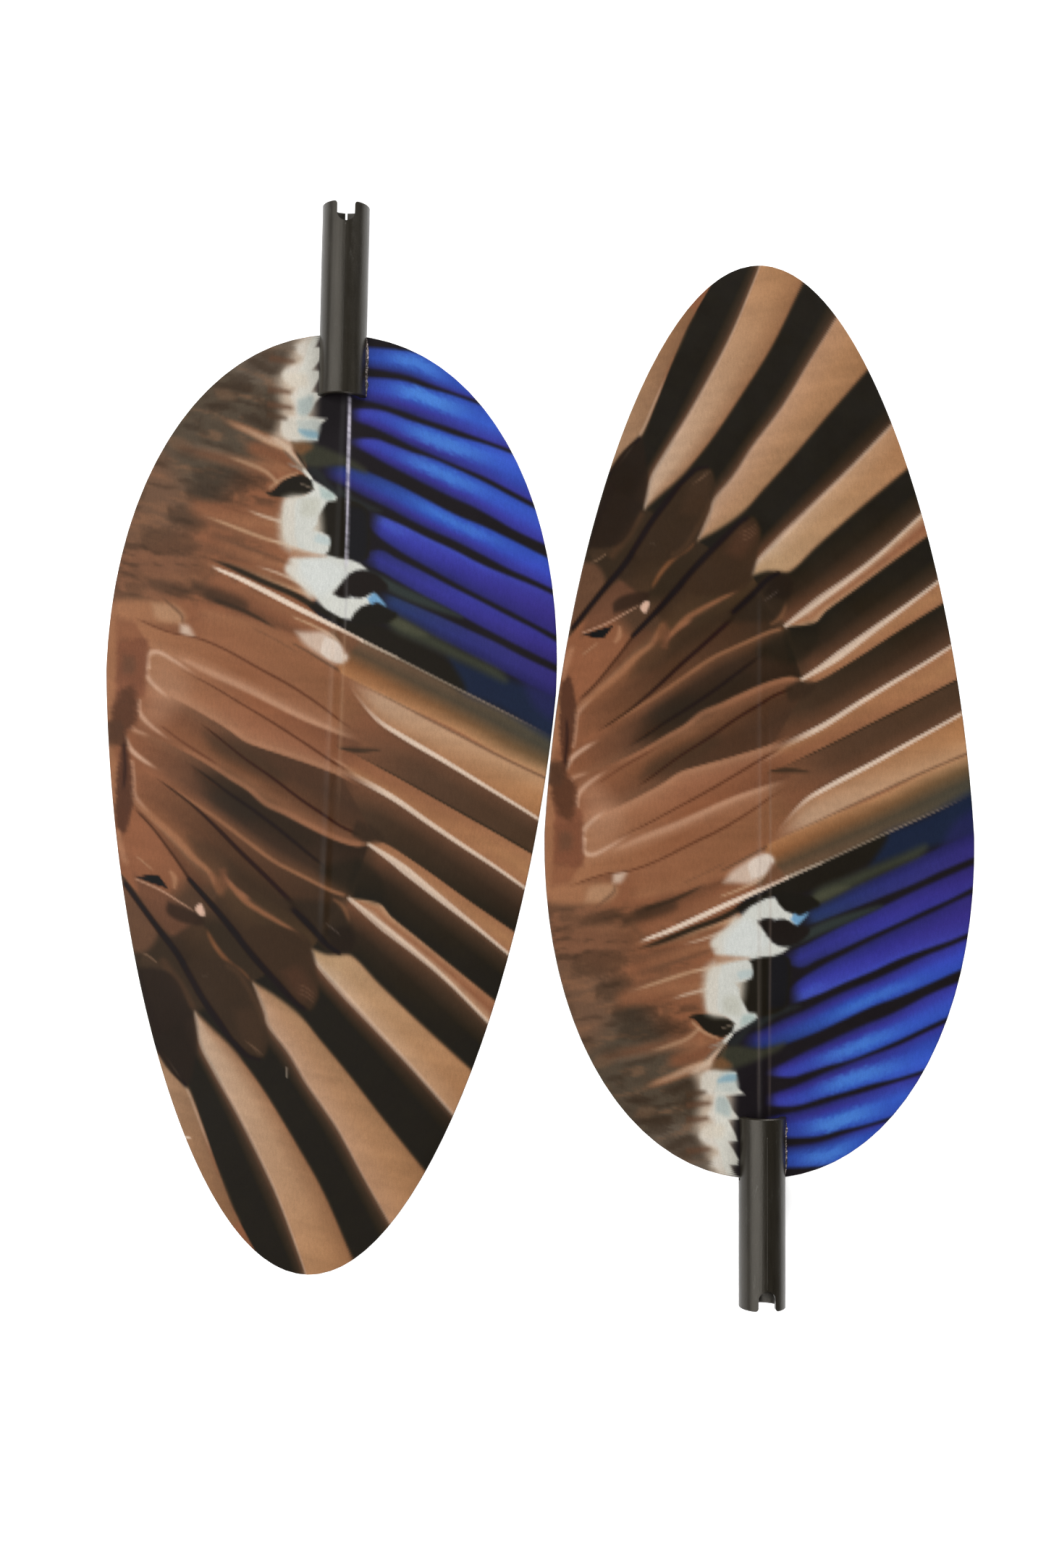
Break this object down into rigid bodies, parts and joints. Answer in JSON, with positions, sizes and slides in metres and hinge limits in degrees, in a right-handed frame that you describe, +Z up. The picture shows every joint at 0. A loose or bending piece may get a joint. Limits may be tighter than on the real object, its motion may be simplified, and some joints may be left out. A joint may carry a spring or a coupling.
{
  "type": "spinning wing set for a waterfowl decoy",
  "caption": "Pair of egg-shaped sheet wings with a printed feather face and black push-on sockets, for a spinning-wing duck decoy.",
  "frame": {"origin": "on the surface the pair lies on, under the middle of its box", "axes": "+X from the left wing to the right wing, +Y out of the left wing's socket along the blades, +Z up out of the printed faces"},
  "size_m": [0.3098, 0.3882, 0.0183],
  "materials": {
    "blade_sheet": "satin, with a pale cut edge",
    "feather_print": "satin printed film",
    "underside_film": "pale satin film",
    "socket_plastic": "satin black moulding",
    "magnet_plate": "bright nickel plate",
    "glue": "cloudy set glue"
  },
  "bodies": {
    "left_wing": {"left_blade": "blade_sheet", "left_feather_print": "feather_print", "left_underside_film": "underside_film", "left_socket": "socket_plastic", "left_magnet": "magnet_plate", "left_glue_bead_top": "glue", "left_glue_bead_bottom": "glue"},
    "right_wing": {"right_blade": "blade_sheet", "right_feather_print": "feather_print", "right_underside_film": "underside_film", "right_socket": "socket_plastic", "right_magnet": "magnet_plate", "right_glue_bead_top": "glue", "right_glue_bead_bottom": "glue"}
  },
  "joints": [
    {"name": "right_wing_lift", "type": "slide", "parent": "left_wing", "child": "right_wing", "axis": [0, 0, 1], "range_m": [0, 0.12]}
  ]
}
